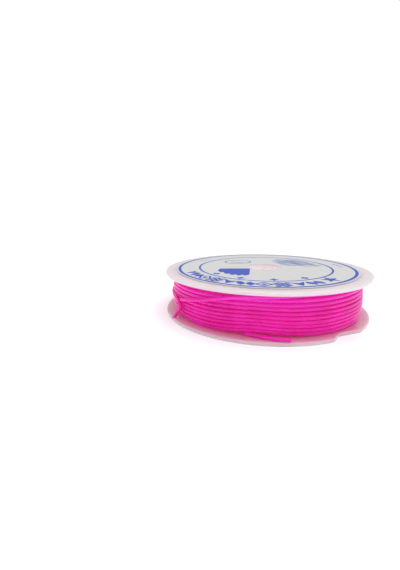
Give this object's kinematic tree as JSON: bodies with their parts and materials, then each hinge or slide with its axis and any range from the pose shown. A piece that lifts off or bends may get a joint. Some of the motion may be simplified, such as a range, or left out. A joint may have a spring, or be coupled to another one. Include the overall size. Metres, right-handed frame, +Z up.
{
  "type": "fishing line spool",
  "caption": "Flat round plastic spool with thin wide flanges and an open centre bore, holding one long wound line with both ends loose and a round label on top.",
  "frame": {"origin": "middle of the underside of the lower flange, on the spool's axis, where it lies on a table", "axes": "+Z up along the spool's axis, -Y towards the side where the loose end of the line lies, +X the way that loose end points"},
  "size_m": [0.062, 0.062, 0.0132],
  "materials": {
    "milky_plastic": "translucent milky white moulded polypropylene, satin to glossy",
    "label_paper": "glossy white coated label with blue print",
    "pink_line": "translucent neon pink drawn polymer line, smooth and shiny"
  },
  "bodies": {
    "root": {"lower_half": "milky_plastic", "upper_half": "milky_plastic", "top_label": "label_paper", "line_winding": "pink_line", "line_tail": "pink_line", "line_end": "pink_line"}
  },
  "joints": []
}
